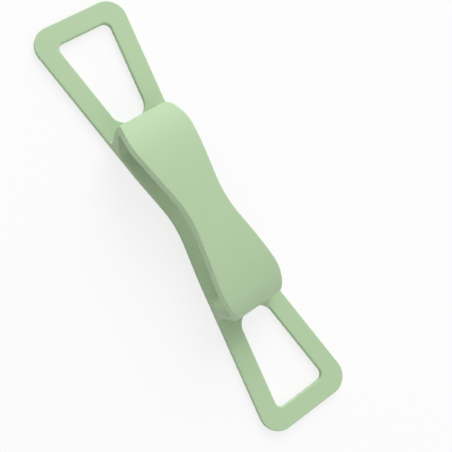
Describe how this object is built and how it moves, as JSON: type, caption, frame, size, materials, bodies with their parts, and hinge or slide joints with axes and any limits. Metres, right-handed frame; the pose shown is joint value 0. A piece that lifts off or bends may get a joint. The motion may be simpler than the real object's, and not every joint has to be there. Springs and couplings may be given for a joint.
{
  "type": "e-reader silicone grip",
  "caption": "Silicone hand strap for the back of an e-reader: a waisted flat strap with an open loop at each end and a raised finger band arching over its middle.",
  "frame": {"origin": "middle of the flat underside, on the face that lies on the reader's back", "axes": "+X along the strap, +Y across it, +Z away from the reader, out through the finger band"},
  "size_m": [0.15, 0.033, 0.0176],
  "materials": {
    "silicone": "matte"
  },
  "bodies": {
    "root": {"silicone_grip": "silicone"}
  },
  "joints": []
}
